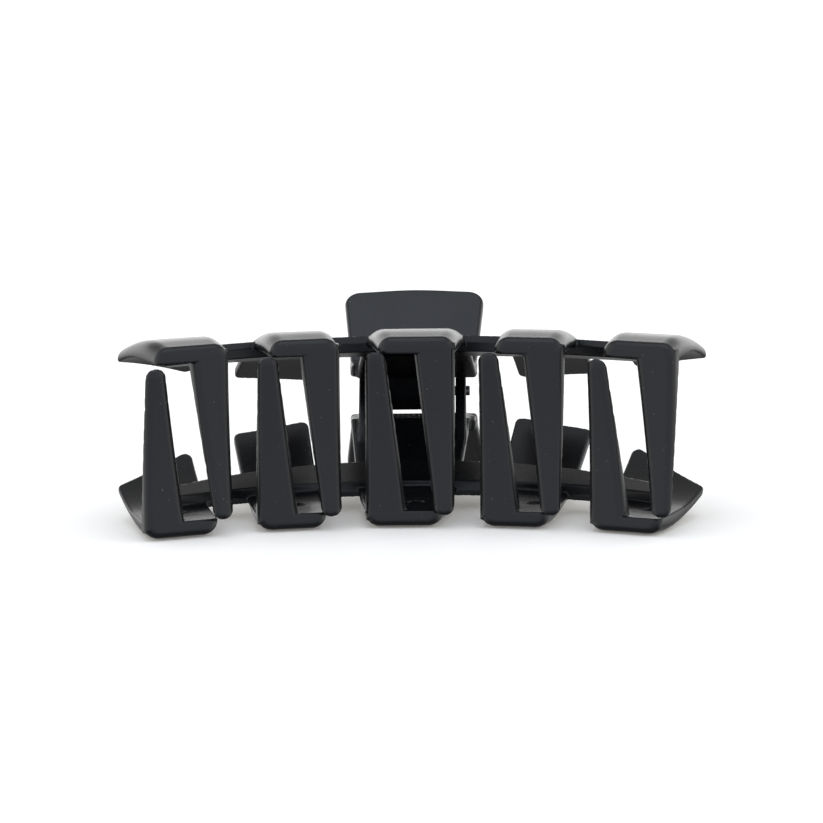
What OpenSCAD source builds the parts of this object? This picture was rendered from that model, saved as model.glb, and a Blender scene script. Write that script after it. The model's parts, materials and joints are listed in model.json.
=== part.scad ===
// Claw clip: two five-rib jaws that mesh, hinged on a pin and closed by a torsion spring.
// X runs along the hinge pin, Y from the teeth to the thumb plates, Z up.
// The origin is under the middle of the closed clip, on the surface it lies on.
// Each jaw is drawn above the closing plane. The lower jaw is the same shape turned
// half a turn about Y, so that its teeth pass beside the upper ones.

/* [Jaw] */
// Radius of the arc that the rib fronts stand on
arc_radius = 113.8; // [105:0.1:125]
// Angle from one rib to the next
rib_step = 10.95; // [10.5:0.05:11.2]
// Sideways shift of each jaw's ribs, so that facing teeth clear each other
jaw_shift = 0.6; // [0.4:0.1:1]
// Height of the inner face of the front band above the closing plane
band_inner = 15.3; // [15:0.1:16]
// Height of the crown of the jaw above the closing plane
crown = 18.9; // [18.6:0.1:19.8]

/* [Teeth] */
// Distance of the middle tooth's tip past the closing plane
tooth_reach = 16.1; // [14:0.1:16.3]
// How far a tooth leans forward from root to tip, to pass in front of the other jaw
tooth_lean = 2.1; // [2:0.1:2.6]
// Width of a tooth near its round tip
tip_width = 4; // [3.4:0.1:4.2]
// Depth of a tooth at its tip
tip_depth = 1.3; // [1:0.1:1.4]
// Depth of a tooth at its root
root_depth = 3.2; // [2.6:0.1:3.6]

/* [Thumb plate] */
// Width of the thumb plate where it leaves the jaw
plate_bottom_w = 25; // [24:0.1:27]
// Width of the thumb plate at its free edge
plate_top_w = 28.9; // [27:0.1:30]
// Thickness of the thumb plate
plate_t = 2.6; // [2.2:0.1:3]
// Slope of the thumb plate above the closing plane
plate_angle = 36; // [35:0.5:40]

/* [Hinge] */
// Distance from the front of the middle rib back to the hinge axis
hinge_y = 46.6; // [46:0.1:47.2]
// Radius of the hinge pin
pin_r = 1; // [0.8:0.05:1.2]
// Radial clearance of the pin in the upper jaw's ears
running_gap = 0.05; // [0.02:0.01:0.1]
// Radius of the round end of each hinge ear
ear_r = 3.9; // [3.4:0.1:4]
// Thickness of each hinge ear
ear_t = 2.1; // [1.8:0.1:2.2]
// Wire diameter of the torsion spring
wire_d = 0.9; // [0.7:0.05:1]

/* [Hidden] */
$fn = 96;

// Outer faces of the two pairs of ears, from the middle plane
outer_ear_x = 10.8;
inner_ear_x = 8.1;
pin_overhang = 0.8;

// The outer ears sit this far off the middle, towards the lower jaw's own ribs
ear_shift = 0.3;

// Sides of a rib's front: the ribs beside the middle one are narrower
function rib_left(i) = abs(i) == 1 ? -5.85 - 0.35 * i : -6.5 - 0.15 * i;
function rib_right(i) = abs(i) == 1 ? 7.7 - 0.4 * i : 8.2 - 0.15 * i;

// Teeth: the outer ones are shorter; each narrows a little on its straight side
function reach(i) = tooth_reach - 0.25 * i * i - 0.1 * i;
function root_width(i) = 7.8 + 0.15 * i;
side_draft = 0.3;

// Thumb plate: directions along it and out of its face, and its length up to the free
// edge, whose outer corner is as high as the crown
plate_foot = [42, 5.1];
plate_along = [cos(plate_angle), sin(plate_angle)];
plate_out = [-sin(plate_angle), cos(plate_angle)];
outer_edge_r = 0.9;
inner_edge_r = 0.7;
plate_length = (crown - outer_edge_r - plate_foot[1]
    - (plate_t / 2 - outer_edge_r) * plate_out[1]) / plate_along[1] + outer_edge_r;
plate_crown = 0.9;
plate_corner_r = 3.2;

// Depth of the whole clip, from the outermost tooth tip to the edge of the plates
shoulder = (band_inner + reach(2) - tip_width / 2) / (band_inner + reach(2));
front_y = (arc_radius - tooth_lean * pow(shoulder, 2)) * cos(2 * rib_step)
    - (rib_right(2) - side_draft * shoulder) * sin(2 * rib_step) - arc_radius;
back_y = plate_foot[0] + (plate_length - inner_edge_r) * plate_along[0]
    - (plate_t / 2 - inner_edge_r) * plate_out[0] + inner_edge_r;
middle_y = (front_y + back_y) / 2;

function unit(v) = v / norm(v);

// Points that round the corner b of the path a, b, c with an arc of radius r
function corner(a, b, c, r, n = 5) =
    let (u = unit(a - b), v = unit(c - b), half = acos(u * v) / 2)
    let (centre = b + unit(u + v) * r / sin(half))
    let (from = b + u * r / tan(half) - centre, to = b + v * r / tan(half) - centre)
    [for (i = [0 : n]) centre + r * unit(from + (to - from) * i / n)];

// A closed path with each corner rounded to its own radius; 0 leaves it sharp
function rounded(path, radii) =
    let (last = len(path) - 1)
    [for (i = [0 : last])
        let (a = path[i == 0 ? last : i - 1], c = path[i == last ? 0 : i + 1])
        each radii[i] > 0 ? corner(a, path[i], c, radii[i]) : [path[i]]];

// Points along a cubic curve from p to s with handles q and r
function curve(p, q, r, s, n) =
    [for (i = [0 : n]) let (k = i / n, j = 1 - k)
        j * j * j * p + 3 * j * j * k * q + 3 * j * k * k * r + k * k * k * s];

// Section of the jaw wall: depth behind the front arc, height above the closing plane
function wall_section() = concat(
    [[-0.4, band_inner], [-0.4, crown - 2.05]],
    curve([0, crown - 2.05], [0, crown - 1.2], [0.7, crown - 0.43], [1.6, crown - 0.42], 5),
    curve([1.6, crown - 0.42], [3.2, crown - 0.36], [5, crown], [6.8, crown], 4),
    curve([6.8, crown], [14.5, crown - 0.1], [22.5, 15.8], [41.2, 5.5], 10),
    [[42.4, 4.1], [40.6, 4.1]],
    curve([38.8, 4.1], [30, 8.9], [22, 14.3], [12, 15.1], 8)
);

// The wall turned about the centre of the front arc
module wall_ring() {
    translate([jaw_shift, -arc_radius, 0])
        rotate_extrude()
            translate([arc_radius, 0])
                polygon(wall_section());
}

// Puts a shape drawn with its front at the origin onto the arc at rib i
module at_rib(i) {
    translate([jaw_shift, -arc_radius, 0])
        rotate([0, 0, -i * rib_step])
            translate([0, arc_radius, 0])
                children();
}

// Rib outlines seen from above: x across the rib, y behind its front
module middle_outline() {
    half = plate_bottom_w / 2;
    polygon(rounded(
        [[rib_left(0), 0], [-8.6, 12], [-half, 43], [half, 43], [9.6, 12], [rib_right(0), 0]],
        [1.6, 20, 0, 0, 20, 0.6]));
}

module inner_outline(side) {
    left = side > 0 ? [-8.4, 38.8] : [-8, 36.3];
    right = side > 0 ? [7.2, 36] : [8, 39.4];
    polygon(rounded(
        [[rib_left(side), 0], left, right, [rib_right(side), 0]], [1.6, 1.4, 1.4, 0.6]));
}

module outer_outline(side) {
    left = side > 0 ? [-11.6, 32.4] : [-7.6, 21.8];
    right = side > 0 ? [6.2, 23.8] : [10.8, 32.7];
    polygon(rounded(
        [[rib_left(2 * side), 0], left, right, [rib_right(2 * side), 0]], [1.6, 1.4, 1.4, 0.6]));
}

module rib_outline(i) {
    if (i == 0) middle_outline();
    else if (abs(i) == 1) inner_outline(i);
    else outer_outline(i / 2);
}

module ribs() {
    intersection() {
        wall_ring();
        for (i = [-2 : 2]) at_rib(i) linear_extrude(crown + 1) rib_outline(i);
    }
}

// The tooth of rib i: its front view and its side view, each drawn out and crossed
module tooth(i) {
    top = band_inner + 2;
    side = rib_right(i);
    root_side = side - root_width(i);
    tip_side = side - side_draft;
    tip_r = tip_width / 2 - 0.05;
    drop = band_inner + reach(i);
    intersection() {
        rotate([90, 0, 0])
            translate([0, 0, -10])
                linear_extrude(20)
                    polygon(rounded(
                        [[root_side, top], [side, top], [tip_side, -reach(i)],
                            [tip_side - tip_width, -reach(i)], [root_side, band_inner]],
                        [0, 0, tip_r, tip_r, 0]));
        rotate([90, 0, 90])
            translate([0, 0, -5])
                linear_extrude(20)
                    polygon(concat(
                        [[root_depth, top], [0, top]],
                        [for (k = [0 : 0.2 : 1]) [-tooth_lean * k * k, band_inner - drop * k]],
                        [[-tooth_lean + tip_depth, -reach(i)], [root_depth, band_inner]]));
    }
}

module teeth() {
    for (i = [-2 : 2]) at_rib(i) tooth(i);
}

// Bar that joins the ribs on the inside: a vertical front, a bevel facing the hair
module spine() {
    front_r = 83;
    back_r = 69;
    front = 18;
    half_length = 47.5;
    intersection() {
        translate([0, front - front_r, 0])
            rotate_extrude()
                translate([front_r, 0])
                    polygon([[0.5, 16], [0, 14.8], [0, 12.9], [11, 9.9], [11, 12.2]]);
        translate([0, 27 - back_r, 5]) cylinder(r = back_r, h = 15);
        translate([-half_length, 0, 5]) cube([2 * half_length, 40, 15]);
    }
}

module thumb_plate() {
    top = plate_top_w / 2;
    foot = plate_bottom_w / 2;
    intersection() {
        translate([0, plate_foot[0], plate_foot[1]])
            rotate([plate_angle, 0, 0])
                translate([0, 0, -plate_t / 2 - 1])
                    linear_extrude(plate_t + 2)
                        polygon(rounded(
                            [[-foot, -2], [-top, plate_length - plate_crown],
                                [0, plate_length + 0.15], [top, plate_length - plate_crown],
                                [foot, -2]],
                            [0, plate_corner_r, 60, plate_corner_r, 0]));
        rotate([90, 0, 90])
            translate([0, 0, -top])
                linear_extrude(2 * top)
                    polygon(plate_section());
    }
}

function plate_section() =
    let (out = plate_t / 2 * plate_out, end = plate_foot + plate_length * plate_along)
    rounded([plate_foot + out - 0.85 * plate_along, plate_foot - out, end - out, end + out],
        [0, 0, inner_edge_r, outer_edge_r]);

// A hinge ear from x to x + ear_t: a gusset under the wall with a round end on the axis
module ear(x) {
    heel_y = hinge_y + ear_r;
    heel_z = plate_foot[1] + (heel_y - plate_foot[0]) * tan(plate_angle);
    translate([x, 0, 0]) rotate([90, 0, 90]) {
        linear_extrude(ear_t)
            polygon([[31.8, 8.3], [hinge_y - 2.6, -2.9], [hinge_y, 0], [heel_y, 0],
                [heel_y, heel_z], [42.2, 5]]);
        translate([hinge_y, 0, 0]) cylinder(r = ear_r, h = ear_t);
    }
}

module bore(r) {
    translate([0, hinge_y, 0])
        rotate([0, 90, 0])
            cylinder(r = r, h = 40, center = true);
}

// Slanting wall between the upper ears that keeps hair out of the spring
module hair_guard() {
    inside = inner_ear_x - ear_t + 0.2;
    translate([-inside, 0, 0])
        rotate([90, 0, 90])
            linear_extrude(2 * inside)
                polygon([[38.4, 4.8], [42.2, -3.1], [43.6, -3.1], [40.1, 4.8]]);
}

module jaw(ear_x, shift, bore_r) {
    difference() {
        union() {
            ribs();
            teeth();
            spine();
            thumb_plate();
            ear(shift - ear_x);
            ear(shift + ear_x - ear_t);
            children();
        }
        bore(bore_r);
    }
}

// From the closed clip's own middle to the origin on the surface below it
module place() {
    translate([0, -middle_y, crown]) children();
}

module lower_jaw() {
    color("#2f3033") place() rotate([0, 180, 0]) jaw(outer_ear_x, ear_shift, pin_r);
}

module upper_jaw() {
    color("#36373a") place() jaw(inner_ear_x, 0, pin_r + running_gap) hair_guard();
}

module hinge_pin() {
    color("#5c5d60") place()
        translate([-outer_ear_x - ear_shift, hinge_y, 0])
            rotate([0, 90, 0])
                cylinder(r = pin_r, h = 2 * outer_ear_x + pin_overhang);
}

// The coils as one sleeve round the pin, and a leg on each thumb plate
module torsion_spring() {
    coil_r = 3.6;
    coil_half = 5.4;
    color("#48494c") place() {
        translate([0, hinge_y, 0]) rotate([0, 90, 0]) difference() {
            cylinder(r = coil_r, h = 2 * coil_half, center = true);
            cylinder(r = coil_r - wire_d, h = 2 * coil_half + 1, center = true);
        }
        for (s = [-1, 1]) spring_leg(s, coil_r - wire_d / 2, coil_half - wire_d / 2);
    }
}

// Leg on side s: along the inner face of the upper (1) or lower (-1) thumb plate
module spring_leg(s, r, x) {
    leg_length = 14;
    leg_angle = 44;
    translate([s * x, hinge_y, 0])
        rotate([s * leg_angle, 0, 0])
            translate([0, 0, s * r])
                rotate([-90, 0, 0])
                    cylinder(r = wire_d / 2, h = leg_length);
}

lower_jaw();
upper_jaw();
hinge_pin();
torsion_spring();
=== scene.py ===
"""Looks of the claw clip: two moulded jaws, their pin and torsion spring, on a white table.

The jaws are modelled as smooth distance fields, in millimetres, in a frame whose Z = 0 is
the closing plane and whose Y = 0 is the front of the middle rib. Every edge gets its own
fillet there, and the zero surface of the field is meshed with quads. The upper jaw is
drawn; the lower one is the same mould turned half a turn about Y, with its own ears.
"""

import json
import math

import bmesh
import bpy
import numpy as np
from mathutils import Matrix, Vector

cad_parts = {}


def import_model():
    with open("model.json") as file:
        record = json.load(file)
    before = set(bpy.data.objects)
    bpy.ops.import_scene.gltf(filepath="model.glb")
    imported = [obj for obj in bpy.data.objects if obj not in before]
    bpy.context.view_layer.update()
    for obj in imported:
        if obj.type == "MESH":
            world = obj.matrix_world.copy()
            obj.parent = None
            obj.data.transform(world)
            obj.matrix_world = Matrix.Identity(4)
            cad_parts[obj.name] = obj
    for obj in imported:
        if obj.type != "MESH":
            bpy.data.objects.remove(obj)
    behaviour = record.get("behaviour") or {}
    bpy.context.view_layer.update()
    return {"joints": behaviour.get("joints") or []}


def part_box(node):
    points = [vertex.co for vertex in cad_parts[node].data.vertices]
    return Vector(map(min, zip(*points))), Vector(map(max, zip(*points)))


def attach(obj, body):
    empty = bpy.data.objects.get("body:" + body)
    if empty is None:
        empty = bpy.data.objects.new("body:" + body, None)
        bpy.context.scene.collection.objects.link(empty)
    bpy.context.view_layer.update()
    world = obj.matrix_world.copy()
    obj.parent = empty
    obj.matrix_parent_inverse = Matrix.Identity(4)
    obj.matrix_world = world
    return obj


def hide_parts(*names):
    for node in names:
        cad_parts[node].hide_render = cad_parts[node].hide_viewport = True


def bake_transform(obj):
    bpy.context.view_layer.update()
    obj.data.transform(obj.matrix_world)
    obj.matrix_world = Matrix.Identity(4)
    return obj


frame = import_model()

MM = 0.001

# Shared with the CAD model, in mm and degrees
ARC_RADIUS = 113.8
RIB_STEP = 10.95
JAW_SHIFT = 0.6
BAND_INNER = 15.3
CROWN = 18.9
WAIST_FLOOR = 4.1
TOOTH_REACH = 16.1
TOOTH_LEAN = 2.1
TIP_WIDTH = 4.0
TIP_DEPTH = 1.3
ROOT_WIDTH = 7.8
ROOT_DEPTH = 3.2
SIDE_DRAFT = 0.3
SPINE_HALF_LENGTH = 47.5
PLATE_BOTTOM_W = 25.0
PLATE_TOP_W = 28.9
PLATE_T = 2.6
PLATE_ANGLE = math.radians(36)
PLATE_FOOT = (42.0, 5.1)
PLATE_CROWN = 0.9
PLATE_CORNER_R = 3.2
OUTER_EDGE_R = 0.9
INNER_EDGE_R = 0.7
HINGE_Y = 46.6
PIN_R = 1.0
RUNNING_GAP = 0.05
EAR_R = 3.9
EAR_T = 2.1
OUTER_EAR_X = 10.8
INNER_EAR_X = 8.1
EAR_SHIFT = 0.3
COIL_R = 3.15
COIL_HALF = 4.95
WIRE_D = 0.9
LEG_LENGTH = 14.0
LEG_ANGLE = math.radians(44)

# Fillets that only the looks have, in mm
TOP_EDGE_R = 2.9
REAR_EDGE_R = 1.3
FRONT_EDGE_R = 1.6
TOOTH_EDGE_R = 1.5
EAR_EDGE_R = 0.2
BORE_EDGE_R = 0.15

# Round marks of the mould's ejector pins, in mm
MARK_R = 1.5
MARK_DEPTH = 0.25
MARK_PLACE = (-1.4, 8.5)

# Box that each jaw is meshed in, the edge length of its grid, and the distance that a
# field starts from before any piece is near, in mm
JAW_LOW = (-60.0, -15.0, -18.0)
JAW_HIGH = (60.0, 62.0, 21.0)
GRID_MM = 0.36
FAR = 9.0

# The hinge axis and the front of the middle rib in the part's own frame, in metres
hinge = Vector(frame["joints"][0]["pos_m"])
middle = hinge - Vector((0, HINGE_Y * MM, 0))


# Distance fields: negative inside, positive outside, in mm


def meet(a, b, r):
    """What is inside both fields, with the edge between them rounded to radius r."""
    round_part = np.hypot(np.maximum(a + r, 0), np.maximum(b + r, 0))
    return np.minimum(np.maximum(a, b), -r) + round_part


def join(a, b, r):
    """What is inside either field, with the inner corner filled to radius r."""
    return -meet(-a, -b, r)


def ease(x, low, high):
    """0 below low, 1 above high, and a smooth step between them."""
    k = np.clip((x - low) / (high - low), 0, 1)
    return k * k * (3 - 2 * k)


def bezier(p, q, r, s, n=60):
    """n + 1 points along a cubic curve from p to s with handles q and r."""
    k = np.linspace(0, 1, n + 1)[:, None]
    j = 1 - k
    p, q, r, s = map(np.array, (p, q, r, s))
    return j**3 * p + 3 * j * j * k * q + 3 * j * k * k * r + k**3 * s


def rounded(path, radii, n=10):
    """The closed path with each corner rounded to its own radius."""
    path = np.array(path, float)
    points = []
    for i, (b, r) in enumerate(zip(path, radii)):
        if r == 0:
            points.append(b)
            continue
        u = path[i - 1] - b
        v = path[(i + 1) % len(path)] - b
        u, v = u / np.linalg.norm(u), v / np.linalg.norm(v)
        half = math.acos(np.clip(u @ v, -1, 1)) / 2
        centre = b + (u + v) / np.linalg.norm(u + v) * r / math.sin(half)
        start = b + u * r / math.tan(half) - centre
        end = b + v * r / math.tan(half) - centre
        for k in np.linspace(0, 1, n + 1):
            mix = start + (end - start) * k
            points.append(centre + r * mix / np.linalg.norm(mix))
    return np.array(points)


def outline(path, cell=0.1, margin=8.0):
    """A field in two dimensions for a closed path, tabulated so that it is fast."""
    path = np.asarray(path, float)
    low = path.min(0) - margin
    count = np.ceil((path.max(0) + margin - low) / cell).astype(int) + 2
    gx, gy = np.meshgrid(*(low[i] + cell * np.arange(count[i]) for i in (0, 1)), indexing="ij")
    best = np.full(gx.shape, np.inf)
    inside = np.zeros(gx.shape, bool)
    for (ax, ay), (bx, by) in zip(path, np.roll(path, -1, 0)):
        ex, ey = bx - ax, by - ay
        length2 = ex * ex + ey * ey
        if length2 == 0:
            continue
        k = np.clip(((gx - ax) * ex + (gy - ay) * ey) / length2, 0, 1)
        best = np.minimum(best, np.hypot(gx - ax - k * ex, gy - ay - k * ey))
        if ay != by:
            crosses = (ay > gy) != (by > gy)
            inside ^= crosses & (gx < ax + ex * (gy - ay) / ey)
    table = np.where(inside, -best, best)

    def field(x, y):
        u = np.clip((x - low[0]) / cell, 0, count[0] - 1.001)
        v = np.clip((y - low[1]) / cell, 0, count[1] - 1.001)
        i, j = u.astype(int), v.astype(int)
        u, v = u - i, v - j
        near = table[i, j] * (1 - v) + table[i, j + 1] * v
        far = table[i + 1, j] * (1 - v) + table[i + 1, j + 1] * v
        return near * (1 - u) + far * u

    return field


def height_curve(points):
    """z and slope as functions of depth, for a curve whose depth only grows."""
    d, z = points[:, 0], points[:, 1]
    slope = np.gradient(z, d)
    return lambda x: (np.interp(x, d, z), np.interp(x, d, slope))


# The wall of the jaw: its outer and inner faces as curves of depth behind the front arc

outer_face = height_curve(np.vstack([
    [(-3, CROWN - 0.6)],
    bezier((0, CROWN - 0.45), (2.3, CROWN - 0.4), (4.5, CROWN), (6.8, CROWN)),
    bezier((6.8, CROWN), (14.5, CROWN - 0.1), (22.5, 15.8), (41.2, 5.5))[1:],
    [(46, 2.9)],
]))
inner_face = height_curve(np.vstack([
    [(-3, BAND_INNER), (6, BAND_INNER)],
    bezier((12, 15.1), (22, 14.3), (30, 8.9), (38.8, WAIST_FLOOR)),
    [(40.6, WAIST_FLOOR), (46, WAIST_FLOOR)],
]))


def above(x, z, curve):
    """Signed distance over a height curve."""
    height, slope = curve(x)
    return (z - height) / np.sqrt(1 + slope * slope)


def rib_axes(i):
    """Unit vectors across rib i and back along it."""
    a = math.radians(i * RIB_STEP)
    return (math.cos(a), -math.sin(a)), (math.sin(a), math.cos(a))


def rib_place(i, x, y):
    """Position across rib i, behind its flat front, and behind the front arc."""
    across, back = rib_axes(i)
    px, py = x - JAW_SHIFT, y + ARC_RADIUS
    t = px * across[0] + py * across[1]
    d = px * back[0] + py * back[1] - ARC_RADIUS
    return t, d, np.hypot(px, py) - ARC_RADIUS


def rib_sides(i):
    """Sides of a rib's front: the ribs beside the middle one are narrower."""
    if abs(i) == 1:
        return -5.85 - 0.35 * i, 7.7 - 0.4 * i
    return -6.5 - 0.15 * i, 8.2 - 0.15 * i


def rib_outline(i):
    """The rib seen from above, without its front face: its sides run on forward."""
    left, right = rib_sides(i)
    if i == 0:
        half = PLATE_BOTTOM_W / 2
        waist_left, waist_right = (-8.6, 12), (9.6, 12)
        path = [(left, 0), waist_left, (-half, 43), (half, 43), waist_right, (right, 0)]
        radii = [0, 20, 0, 0, 20, 0]
    else:
        if abs(i) == 1:
            back = [(-8.4, 38.8), (7.2, 36)] if i > 0 else [(-8, 36.3), (8, 39.4)]
        else:
            back = [(-11.6, 32.4), (6.2, 23.8)] if i > 0 else [(-7.6, 21.8), (10.8, 32.7)]
        path = [(left, 0), *back, (right, 0)]
        radii = [0, 1.4, 1.4, 0]
    for front, behind in ((0, 1), (-1, -2)):
        x, y = path[front]
        slope = (path[behind][0] - x) / (path[behind][1] - y)
        path[front] = (x - 4 * slope, y - 4)
    return outline(rounded(path, radii))


def rib(i):
    """Rib i, with its band at the front. The fillet along its top narrows towards the back."""
    walls = rib_outline(i)

    def field(x, y, z):
        t, d, arc_d = rib_place(i, x, y)
        edge_r = TOP_EDGE_R + (REAR_EDGE_R - TOP_EDGE_R) * ease(d, 10, 28)
        top = meet(above(arc_d, z, outer_face), walls(t, d), edge_r)
        return meet(meet(top, -d, FRONT_EDGE_R), -above(arc_d, z, inner_face), 0.5)

    return field


def tooth(i):
    """Tooth i: its front view crossed with a side view that leans forward towards the tip."""
    reach = TOOTH_REACH - 0.25 * i * i - 0.1 * i
    side = rib_sides(i)[1]
    root_side = side - ROOT_WIDTH - 0.15 * i
    tip_side = side - SIDE_DRAFT
    top = BAND_INNER + 2
    tip_r = TIP_WIDTH / 2 - 0.05
    view = outline(rounded(
        [(root_side, top), (side, top), (tip_side, -reach), (tip_side - TIP_WIDTH, -reach),
         (root_side, BAND_INNER)],
        [0, 0, tip_r, tip_r, 0]))

    def field(x, y, z):
        t, d, _ = rib_place(i, x, y)
        k = np.maximum(BAND_INNER - z, 0) / (BAND_INNER + reach)
        front = -d - TOOTH_LEAN * k * k
        back = d - ROOT_DEPTH + (ROOT_DEPTH + TOOTH_LEAN - TIP_DEPTH) * k
        return meet(meet(view(t, z), front, TOOTH_EDGE_R), back, 0.4)

    return field


def spine():
    """The curved bar that joins the ribs on the inside, between two arcs seen from above."""
    front, front_r = 18, 83
    rear, rear_r = 27, 69
    section = outline(rounded(
        [(0.5, 16), (0, 14.8), (0, 12.9), (11, 9.9), (11, 12.2)], [0, 0.3, 0.35, 0.35, 0.3]))

    def field(x, y, z):
        depth = np.hypot(x, y - front + front_r) - front_r
        past_rear = np.hypot(x, y - rear + rear_r) - rear_r
        bar = meet(section(depth, z), past_rear, 0.3)
        return meet(bar, np.abs(x) - SPINE_HALF_LENGTH, 0.5)

    return field


def plate_frame():
    """Unit vectors along the thumb plate and out of its face, and its length."""
    along = np.array([math.cos(PLATE_ANGLE), math.sin(PLATE_ANGLE)])
    out = np.array([-along[1], along[0]])
    rise = CROWN - OUTER_EDGE_R - PLATE_FOOT[1] - (PLATE_T / 2 - OUTER_EDGE_R) * out[1]
    return along, out, rise / along[1] + OUTER_EDGE_R


def thumb_plate():
    """The slanting plate, wider and slightly bowed at its free edge."""
    along, out, length = plate_frame()
    foot, top = PLATE_BOTTOM_W / 2, PLATE_TOP_W / 2
    start = -0.85
    plan = outline(rounded(
        [(-foot, start), (-top, length - PLATE_CROWN), (0, length + 0.15),
         (top, length - PLATE_CROWN), (foot, start)],
        [0, PLATE_CORNER_R, 60, PLATE_CORNER_R, 0]))

    def field(x, y, z):
        dy, dz = y - PLATE_FOOT[0], z - PLATE_FOOT[1]
        over = dy * out[0] + dz * out[1]
        shape = plan(x, dy * along[0] + dz * along[1])
        face = meet(shape, over - PLATE_T / 2, OUTER_EDGE_R)
        both = meet(face, -over - PLATE_T / 2, INNER_EDGE_R)
        return meet(both, WAIST_FLOOR - z, 0.4)

    return field


def waist():
    """The short flat floor where the wall turns up into the thumb plate."""
    section = outline(rounded(
        [(38.5, 6.9), (38.5, 4.6), (40.6, WAIST_FLOOR), (42.9, WAIST_FLOOR), (44.4, 5.9),
         (42, 6.6)],
        [0, 0.3, 0.8, 0.5, 0.3, 0.3]))

    def field(x, y, z):
        return meet(section(y, z), np.abs(x) - PLATE_BOTTOM_W / 2, 0.6)

    return field


def ear(x_low):
    """A hinge ear: a gusset under the wall with a round end on the hinge axis."""
    heel = HINGE_Y + EAR_R
    heel_z = PLATE_FOOT[1] + (heel - PLATE_FOOT[0]) * math.tan(PLATE_ANGLE)
    gusset = outline([
        (31.8, 8.3), (HINGE_Y - 2.6, -2.9), (HINGE_Y, 0), (heel, 0), (heel, heel_z), (42.2, 5)])

    def field(x, y, z):
        boss = np.hypot(y - HINGE_Y, z) - EAR_R
        side = join(gusset(y, z), boss, 0.2)
        return meet(side, np.abs(x - x_low - EAR_T / 2) - EAR_T / 2, EAR_EDGE_R)

    return field


def hair_guard():
    """The slanting wall between the upper ears that keeps hair out of the spring."""
    inside = INNER_EAR_X - EAR_T + 0.3
    section = outline(rounded(
        [(38.4, 4.8), (42.2, -3.1), (43.6, -3.1), (40.1, 4.8)], [0, 0.3, 0.4, 0]))

    def field(x, y, z):
        return meet(section(y, z), np.abs(x) - inside, 0.1)

    return field


def ejector_marks():
    """Shallow round marks that the mould's pins leave on the rib floors."""
    def field(x, y, z):
        best = np.full(np.shape(x), FAR)
        for i in range(-2, 3):
            t, d, _ = rib_place(i, x, y)
            disc = np.hypot(t - MARK_PLACE[0], d - MARK_PLACE[1]) - MARK_R
            best = np.minimum(best, np.maximum(disc, np.abs(z - BAND_INNER) - MARK_DEPTH))
        return best

    return field


def corner_box(points, pad=2.5):
    """Lowest and highest corner of a box round the points, with room for the fillets."""
    points = np.array(points, float)
    return points.min(0) - pad, points.max(0) + pad


def rib_box(i, t_low, t_high, d_low, d_high, z_low, z_high):
    """A box round what lies between these places across, behind and above rib i's front."""
    across, back = rib_axes(i)
    corners = []
    for t in (t_low, t_high):
        for d in (d_low, d_high):
            for z in (z_low, z_high):
                r = ARC_RADIUS + d
                corners.append((JAW_SHIFT + t * across[0] + r * back[0],
                                t * across[1] + r * back[1] - ARC_RADIUS, z))
    return corner_box(corners)


def jaw_pieces(ear_x, ear_shift, guarded):
    """(box, field, fillet to what is already there) for each feature of a jaw.

    A feature's field is only worked out inside its box, which saves time.
    """
    pieces = []
    for i in range(-2, 3):
        depth = 43 if i == 0 else 39
        pieces.append((rib_box(i, -13, 13, 0, depth, 3, CROWN), rib(i), 0))
        pieces.append((rib_box(i, -1, 8.6, -2.1, 3.5, -16.2, 17.5), tooth(i), 0))
    plate_box = corner_box([(-14.6, 38, 3), (14.6, 60, CROWN)])
    pieces.append((plate_box, waist(), 0.5))
    pieces.append((plate_box, thumb_plate(), 0.9))
    pieces.append((corner_box([(-48, 2, 9), (48, 28, 17)]), spine(), 0.3))
    for x in (ear_shift - ear_x, ear_shift + ear_x - EAR_T):
        box = corner_box([(x, 31, -4), (x + EAR_T, 51, 13)])
        pieces.append((box, ear(x), 0.4))
    if guarded:
        pieces.append((corner_box([(-7, 38, -3.1), (7, 44, 5)]), hair_guard(), 0.3))
    return pieces


def jaw_field(pieces, bore_r):
    """One field for a whole jaw, as a function of points in an (n, 3) array."""
    marks = ejector_marks()

    def field(points):
        value = np.full(len(points), FAR)
        for (low, high), shape, fillet in pieces:
            near = np.flatnonzero(((points > low) & (points < high)).all(1))
            value[near] = join(value[near], shape(*points[near].T), fillet)
        close = np.flatnonzero(value < 1.5)
        x, y, z = points[close].T
        hole = bore_r - np.hypot(y - HINGE_Y, z)
        value[close] = meet(meet(value[close], hole, BORE_EDGE_R), -marks(x, y, z), 0.05)
        return value

    return field


# Meshing


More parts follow.
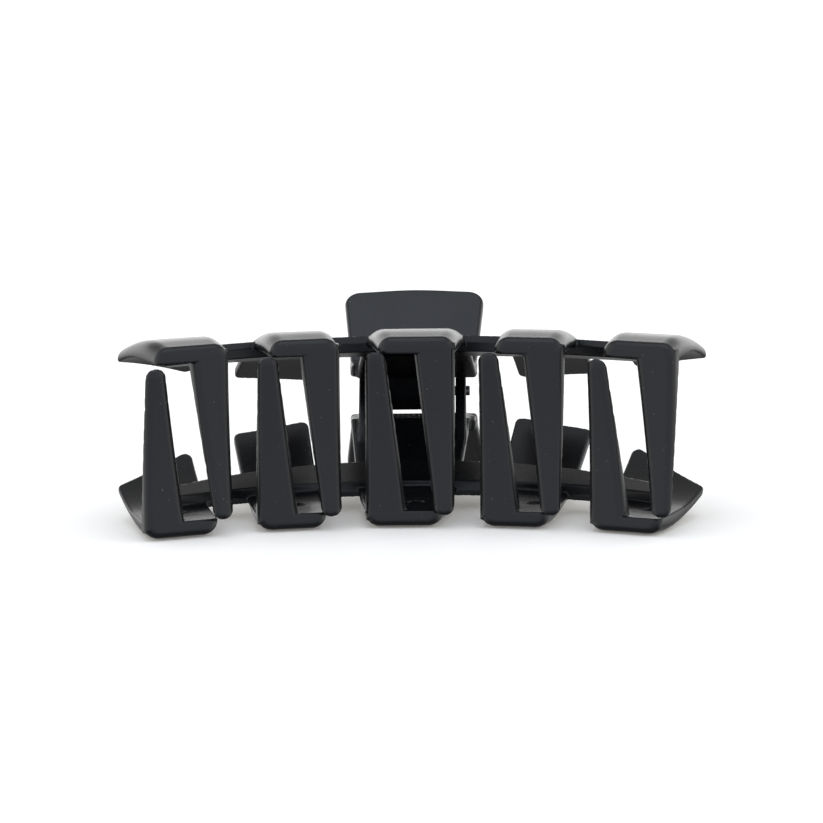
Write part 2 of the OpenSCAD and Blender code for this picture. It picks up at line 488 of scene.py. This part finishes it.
def surface(field, low, high, step):
    """Vertices and quads of the field's zero surface, one vertex per crossed cell."""
    axes = [np.arange(low[i], high[i] + step, step) for i in range(3)]
    shape = tuple(len(a) for a in axes)
    values = np.empty(shape)
    for i, x in enumerate(axes[0]):
        gy, gz = np.meshgrid(axes[1], axes[2], indexing="ij")
        points = np.stack([np.full(gy.size, x), gy.ravel(), gz.ravel()], 1)
        values[i] = field(points).reshape(gy.shape)
    inside = values < 0

    # Each crossed cell's vertex is the mean of the places where its edges cross
    cells = tuple(n - 1 for n in shape)

    def corner(grid, bits):
        return grid[tuple(slice(b, b + c) for b, c in zip(bits, cells))]

    corners = [(a, b, c) for a in (0, 1) for b in (0, 1) for c in (0, 1)]
    filled = sum(corner(inside, c).astype(np.int8) for c in corners)
    mixed = (filled > 0) & (filled < 8)
    number = np.full(cells, -1)
    number[mixed] = np.arange(mixed.sum())
    total = np.zeros((mixed.sum(), 3))
    count = np.zeros(mixed.sum())
    for c in corners:
        for axis in range(3):
            if c[axis]:
                continue
            other = tuple(1 if k == axis else c[k] for k in range(3))
            a, b = corner(values, c)[mixed], corner(values, other)[mixed]
            cut = (a < 0) != (b < 0)
            spot = np.tile(np.array(c, float), (cut.sum(), 1))
            spot[:, axis] = a[cut] / (a[cut] - b[cut])
            total[cut] += spot
            count[cut] += 1
    where = np.stack(np.nonzero(mixed), 1)
    vertices = np.array(low) + step * (where + total / count[:, None])

    # One quad for each grid edge that crosses the surface, facing out of the solid
    quads = []
    for axis in range(3):
        u, v = (axis + 1) % 3, (axis + 2) % 3
        one = [slice(None)] * 3
        two = [slice(None)] * 3
        one[axis], two[axis] = slice(0, -1), slice(1, None)
        first, second = inside[tuple(one)], inside[tuple(two)]
        edge = np.stack(np.nonzero(first != second), 1)
        leaving = first[tuple(edge.T)]
        ring = []
        for du, dv in ((0, 0), (1, 0), (1, 1), (0, 1)):
            cell = edge.copy()
            cell[:, u] -= du
            cell[:, v] -= dv
            ring.append(number[tuple(cell.T)])
        ring = np.stack(ring, 1)
        quads.append(ring[leaving])
        quads.append(ring[~leaving][:, ::-1])
    return vertices, np.concatenate(quads)


def slopes(field, points, reach=0.02):
    """The field's gradient at the points."""
    result = np.empty_like(points)
    for axis in range(3):
        offset = np.zeros(3)
        offset[axis] = reach
        result[:, axis] = (field(points + offset) - field(points - offset)) / (2 * reach)
    return result


def settle(field, points, rounds=3):
    """Moves the points onto the zero surface and returns them with their normals."""
    longest = 0.3 * GRID_MM
    for _ in range(rounds):
        g = slopes(field, points)
        length2 = np.maximum((g * g).sum(1), 0.05)
        move = g * (field(points) / length2)[:, None]
        far = np.linalg.norm(move, axis=1)
        move *= np.minimum(1, longest / np.maximum(far, 1e-9))[:, None]
        points = points - move
    g = slopes(field, points)
    return points, g / np.maximum(np.linalg.norm(g, axis=1), 1e-9)[:, None]


def field_object(name, field, turn):
    """A mesh object of the field, turned and placed in the part's own frame."""
    vertices, quads = surface(field, JAW_LOW, JAW_HIGH, GRID_MM)
    vertices, normals = settle(field, vertices)
    mesh = bpy.data.meshes.new(name)
    mesh.from_pydata((vertices * MM).tolist(), [], quads.tolist())
    mesh.validate()
    mesh.shade_smooth()
    mesh.normals_split_custom_set_from_vertices(normals.tolist())
    mesh.transform(Matrix.Translation(middle) @ turn)
    piece = bpy.data.objects.new(name, mesh)
    bpy.context.scene.collection.objects.link(piece)
    return piece


def finished(name, made, sharp_degrees):
    """A smooth-shaded object of a bmesh, with its sharp edges kept sharp."""
    bmesh.ops.recalc_face_normals(made, faces=made.faces)
    mesh = bpy.data.meshes.new(name)
    made.to_mesh(mesh)
    made.free()
    mesh.shade_smooth()
    mesh.set_sharp_from_angle(angle=math.radians(sharp_degrees))
    piece = bpy.data.objects.new(name, mesh)
    bpy.context.scene.collection.objects.link(piece)
    return piece


# The pin and the spring


def hinge_pin():
    """The pin, with a small chamfer on both cut ends."""
    chamfer = 0.15 * MM
    sides = 48
    low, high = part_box("hinge_pin")
    r = (high[1] - low[1]) / 2
    centre = (Vector(low) + Vector(high)) / 2
    rings = [(low[0], r - chamfer), (low[0] + chamfer, r),
             (high[0] - chamfer, r), (high[0], r - chamfer)]
    made = bmesh.new()
    loops = []
    for x, radius in rings:
        loops.append([
            made.verts.new((x, centre.y + radius * math.cos(a), centre.z + radius * math.sin(a)))
            for a in np.linspace(0, 2 * math.pi, sides, endpoint=False)])
    for a, b in zip(loops, loops[1:]):
        for i in range(sides):
            j = (i + 1) % sides
            made.faces.new((a[i], a[j], b[j], b[i]))
    made.faces.new(list(reversed(loops[0])))
    made.faces.new(loops[-1])
    return finished("hinge_pin_steel", made, 40)


def tube(name, path, r, sides=14):
    """A wire along a path around the hinge, in mm, with rings square to it and flat ends."""
    along = np.gradient(path, axis=0)
    along /= np.linalg.norm(along, axis=1)[:, None]
    side = np.cross(along[0], (1.0, 0, 0))
    made = bmesh.new()
    rings = []
    for spot, forward in zip(path, along):
        side = side - forward * (side @ forward)
        side /= np.linalg.norm(side)
        other = np.cross(forward, side)
        ring = []
        for a in np.linspace(0, 2 * math.pi, sides, endpoint=False):
            point = spot + r * (math.cos(a) * side + math.sin(a) * other)
            ring.append(made.verts.new(hinge + Vector(point * MM)))
        rings.append(ring)
    for first, second in zip(rings, rings[1:]):
        for i in range(sides):
            j = (i + 1) % sides
            made.faces.new((first[i], first[j], second[j], second[i]))
    made.faces.new(rings[0])
    made.faces.new(list(reversed(rings[-1])))
    return finished(name, made, 50)


def torsion_spring():
    """A helix round the pin, from the leg on the lower thumb plate to the one on the upper."""
    leg = np.array([math.cos(LEG_ANGLE), math.sin(LEG_ANGLE)]) * LEG_LENGTH
    start = math.pi / 2 + LEG_ANGLE
    turns = 10 - start / math.pi
    steps_per_turn = 28
    count = round(turns * steps_per_turn)
    bend = 0.03
    path = []
    for i in range(count + 1):
        k = i / count
        a = -start - 2 * math.pi * turns * k
        path.append((COIL_HALF * (2 * k - 1), COIL_R * math.cos(a), COIL_R * math.sin(a)))
    for s, end in ((-1, 0), (1, -1)):
        x, y, z = path[end]
        tip = (x, y + leg[0], z + s * leg[1])
        near = (x, y + bend * leg[0], z + s * bend * leg[1])
        path = [tip, near] + path if s < 0 else path + [near, tip]
    return tube("torsion_spring_wire", np.array(path), WIRE_D / 2)


# Materials


def feed(tree, socket, value):
    """Links the socket to another node's output, or sets it to a plain value."""
    if isinstance(value, bpy.types.NodeSocket):
        tree.links.new(value, socket)
    else:
        socket.default_value = value


def noise(tree, coords, scale, detail=2.0):
    """Noise with about this many features to a metre."""
    node = tree.nodes.new("ShaderNodeTexNoise")
    node.inputs["Scale"].default_value = scale
    node.inputs["Detail"].default_value = detail
    tree.links.new(coords, node.inputs["Vector"])
    return node.outputs["Fac"]


def spread(tree, value, old_range, new_range=(0, 1)):
    """Maps the old range onto the new one, and holds the value inside it."""
    node = tree.nodes.new("ShaderNodeMapRange")
    node.inputs["From Min"].default_value, node.inputs["From Max"].default_value = old_range
    node.inputs["To Min"].default_value, node.inputs["To Max"].default_value = new_range
    tree.links.new(value, node.inputs["Value"])
    return node.outputs["Result"]


def maths(tree, operation, a, b=None):
    """The result of a Math node for one or two values."""
    node = tree.nodes.new("ShaderNodeMath")
    node.operation = operation
    feed(tree, node.inputs[0], a)
    if b is not None:
        feed(tree, node.inputs[1], b)
    return node.outputs["Value"]


def two_tone(tree, factor, a, b):
    """The colour a where the factor is 0 and b where it is 1."""
    node = tree.nodes.new("ShaderNodeMix")
    node.data_type = "RGBA"
    feed(tree, node.inputs["Factor"], factor)
    feed(tree, node.inputs["A"], a)
    feed(tree, node.inputs["B"], b)
    return node.outputs["Result"]


def bump(tree, height, strength, distance):
    """The normal of a surface that the height raises by up to the distance, in metres."""
    node = tree.nodes.new("ShaderNodeBump")
    node.inputs["Strength"].default_value = strength
    node.inputs["Distance"].default_value = distance
    tree.links.new(height, node.inputs["Height"])
    return node.outputs["Normal"]


def new_material(name, **inputs):
    """A material, its node tree and its shader, with the shader's inputs set by name."""
    material = bpy.data.materials.new(name)
    material.use_nodes = True
    shader = material.node_tree.nodes["Principled BSDF"]
    for key, value in inputs.items():
        shader.inputs[key.replace("_", " ")].default_value = value
    return material, material.node_tree, shader


# Most of a noise's values lie in this range
NOISE_RANGE = (0.3, 0.7)


def plastic():
    """Satin black plastic: a very fine grain, patches of more and less shine, a little dust."""
    black, lighter = (0.0024, 0.0027, 0.0034, 1), (0.0048, 0.0053, 0.0064, 1)
    dust = (0.08, 0.08, 0.085, 1)
    material, tree, shader = new_material("jaw_plastic", IOR=1.38)
    coords = tree.nodes.new("ShaderNodeTexCoord").outputs["Object"]
    grain = noise(tree, coords, 4500, 3)
    shine = spread(tree, noise(tree, coords, 90), NOISE_RANGE, (0.24, 0.29))
    specks = spread(tree, noise(tree, coords, 1900, 1), (0.75, 0.83))
    colour = two_tone(tree, specks, two_tone(tree, grain, black, lighter), dust)
    feed(tree, shader.inputs["Roughness"], shine)
    feed(tree, shader.inputs["Base Color"], colour)
    feed(tree, shader.inputs["Normal"], bump(tree, grain, 0.25, 0.03 * MM))
    return material


def steel(name, shade):
    """Dark drawn wire: fine marks along X, the way it was drawn."""
    material, tree, shader = new_material(name, Metallic=1.0, IOR=1.5)
    stretch = tree.nodes.new("ShaderNodeMapping")
    stretch.inputs["Scale"].default_value = (0.15, 1, 1)
    tree.links.new(tree.nodes.new("ShaderNodeTexCoord").outputs["Object"],
                   stretch.inputs["Vector"])
    marks = noise(tree, stretch.outputs["Vector"], 6000)
    darker = (shade * 0.7, shade * 0.7, shade * 0.72, 1)
    lighter = (shade * 1.3, shade * 1.3, shade * 1.33, 1)
    feed(tree, shader.inputs["Base Color"], two_tone(tree, marks, darker, lighter))
    feed(tree, shader.inputs["Roughness"], spread(tree, marks, NOISE_RANGE, (0.25, 0.42)))
    feed(tree, shader.inputs["Normal"], bump(tree, marks, 0.3, 0.01 * MM))
    return material


# The object's pieces

black = plastic()
upper = field_object(
    "upper_jaw_moulding", jaw_field(jaw_pieces(INNER_EAR_X, 0, True), PIN_R + RUNNING_GAP),
    Matrix.Identity(4))
lower = field_object(
    "lower_jaw_moulding", jaw_field(jaw_pieces(OUTER_EAR_X, EAR_SHIFT, False), PIN_R),
    Matrix.Rotation(math.pi, 4, "Y"))
for piece, node in ((upper, "upper_jaw"), (lower, "lower_jaw")):
    piece.data.materials.append(black)
    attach(piece, node)
    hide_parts(node)

pin = hinge_pin()
pin.data.materials.append(steel("pin_steel", 0.16))
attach(pin, "lower_jaw")
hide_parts("hinge_pin")

spring = torsion_spring()
spring.data.materials.append(steel("spring_steel", 0.2))
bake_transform(spring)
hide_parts("torsion_spring")


# The table, light and camera


def table():
    """A white sheet that glows a little and doesn't show in reflections."""
    half = 3.0
    mesh = bpy.data.meshes.new("table_top")
    mesh.from_pydata([(-half, -half, 0), (half, -half, 0), (half, half, 0), (-half, half, 0)],
                     [], [(0, 1, 2, 3)])
    piece = bpy.data.objects.new("table_top", mesh)
    bpy.context.scene.collection.objects.link(piece)
    material, _, _ = new_material(
        "white_table", Base_Color=(0.96, 0.94, 0.895, 1), Roughness=0.8,
        Emission_Color=(1, 0.95, 0.85, 1), Emission_Strength=0.11)
    piece.data.materials.append(material)
    piece.visible_glossy = False


def soft_box():
    """A square lamp that hangs over the clip and faces down."""
    data = bpy.data.lights.new("overhead", "AREA")
    data.shape = "SQUARE"
    data.size = 1.2
    data.energy = 2.6
    data.color = (0.92, 0.98, 1.08)
    light = bpy.data.objects.new("overhead", data)
    light.location = (0, -0.15, 1.5)
    bpy.context.scene.collection.objects.link(light)


def camera():
    """Looks at the clip from the teeth side, a little above the closing plane."""
    pitch, yaw, roll = math.radians(10.22), math.radians(-1.24), math.radians(-0.775)
    distance, aside, raised = 801.63 * MM, 0.305 * MM, 4.12 * MM
    forward = Vector((math.sin(yaw) * math.cos(pitch), math.cos(yaw) * math.cos(pitch),
                      -math.sin(pitch)))
    level = Vector((math.cos(yaw), -math.sin(yaw), 0))
    up = level.cross(forward)
    right = math.cos(roll) * level + math.sin(roll) * up
    up = -math.sin(roll) * level + math.cos(roll) * up
    data = bpy.data.cameras.new("camera")
    data.sensor_width = 36
    data.lens = 182.26
    data.clip_end = 50
    eye = bpy.data.objects.new("camera", data)
    spot = middle + aside * right + raised * up - distance * forward
    turn = Matrix((right, up, -forward)).transposed().to_4x4()
    eye.matrix_world = Matrix.Translation(spot) @ turn
    bpy.context.scene.collection.objects.link(eye)
    bpy.context.scene.camera = eye


# Brightness of the studio by direction, as (degrees about X, shade): 0 is level and
# towards the viewer, 90 is straight up and 180 is level and away
STUDIO_SHADES = [
    (-180, 1.5), (-172, 0.9), (-162, 0.4), (-145, 0.2), (-90, 0.15), (-60, 0.3), (-40, 0.75),
    (-25, 1.08), (-10, 1.14), (20, 1.22), (60, 1.15), (105, 1.05), (112, 0.45), (152, 0.4),
    (162, 1.8), (180, 2.0)]
FRONT_TINT = (0.94, 1, 1.12)
SIDE_SHADE = (0.75, 0.75, 0.75, 1)


def world():
    """A white studio: the light turns about X, from the table in front, up and over to the back.

    A soft box is overhead, with a dark gap between it and the lit back wall, and soft
    light comes from both sides.
    """
    studio = bpy.data.worlds.new("studio")
    studio.use_nodes = True
    tree = studio.node_tree
    split = tree.nodes.new("ShaderNodeSeparateXYZ")
    feed(tree, split.inputs["Vector"], tree.nodes.new("ShaderNodeTexCoord").outputs["Generated"])
    x, y, z = (split.outputs[axis] for axis in "XYZ")
    turn = maths(tree, "ARCTAN2", z, maths(tree, "MULTIPLY", y, -1))
    shades = tree.nodes.new("ShaderNodeValToRGB")
    feed(tree, shades.inputs["Fac"], spread(tree, turn, (-math.pi, math.pi)))
    stops = shades.color_ramp.elements
    while len(stops) < len(STUDIO_SHADES):
        stops.new(0.5)
    brightest = max(shade for _, shade in STUDIO_SHADES)
    for stop, (degrees, shade) in zip(stops, STUDIO_SHADES):
        stop.position = (degrees + 180) / 360
        tint = FRONT_TINT if -60 <= degrees <= 105 else (1, 1, 1)
        stop.color = tuple(shade / brightest * t for t in tint) + (1,)
    sideways = spread(tree, maths(tree, "ABSOLUTE", x), (0.55, 0.85))
    background = tree.nodes["Background"]
    feed(tree, background.inputs["Color"],
         two_tone(tree, sideways, shades.outputs["Color"], SIDE_SHADE))
    background.inputs["Strength"].default_value = brightest
    bpy.context.scene.world = studio


table()
world()
soft_box()
camera()
bpy.context.scene.view_settings.view_transform = "Standard"
